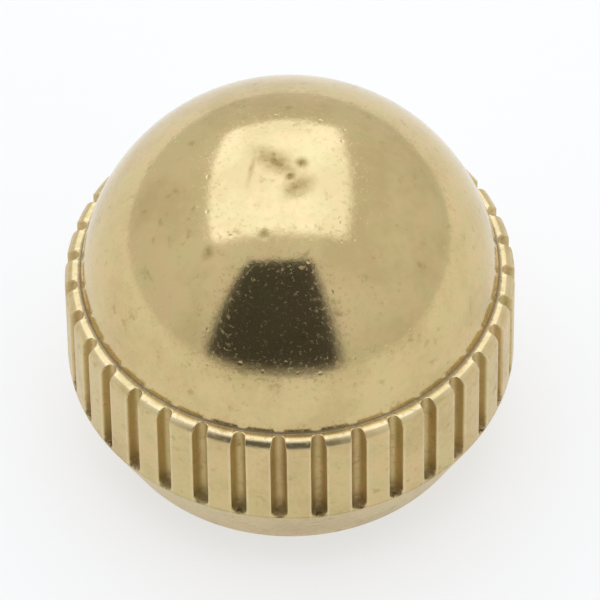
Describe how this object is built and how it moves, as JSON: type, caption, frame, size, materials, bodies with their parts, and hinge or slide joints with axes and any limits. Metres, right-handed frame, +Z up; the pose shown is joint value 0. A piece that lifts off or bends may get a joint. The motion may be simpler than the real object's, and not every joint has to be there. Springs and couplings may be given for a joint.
{
  "type": "knurled knob",
  "caption": "Small solid brass knob with a polished dome, a coarse straight-knurled band, a tapered foot and a blind tapped hole in its flat base.",
  "frame": {"origin": "centre of the flat base, on the knob's axis, at the mouth of the tapped hole", "axes": "+Z up the knob's axis, from the flat base to the top of the dome; +X through the middle of one knurl groove"},
  "size_m": [0.0126, 0.0126, 0.0107],
  "materials": {
    "brass": "polished on the dome, as rolled and turned below it, lightly tarnished and worn"
  },
  "bodies": {
    "root": {"knurled_knob": "brass"}
  },
  "joints": []
}
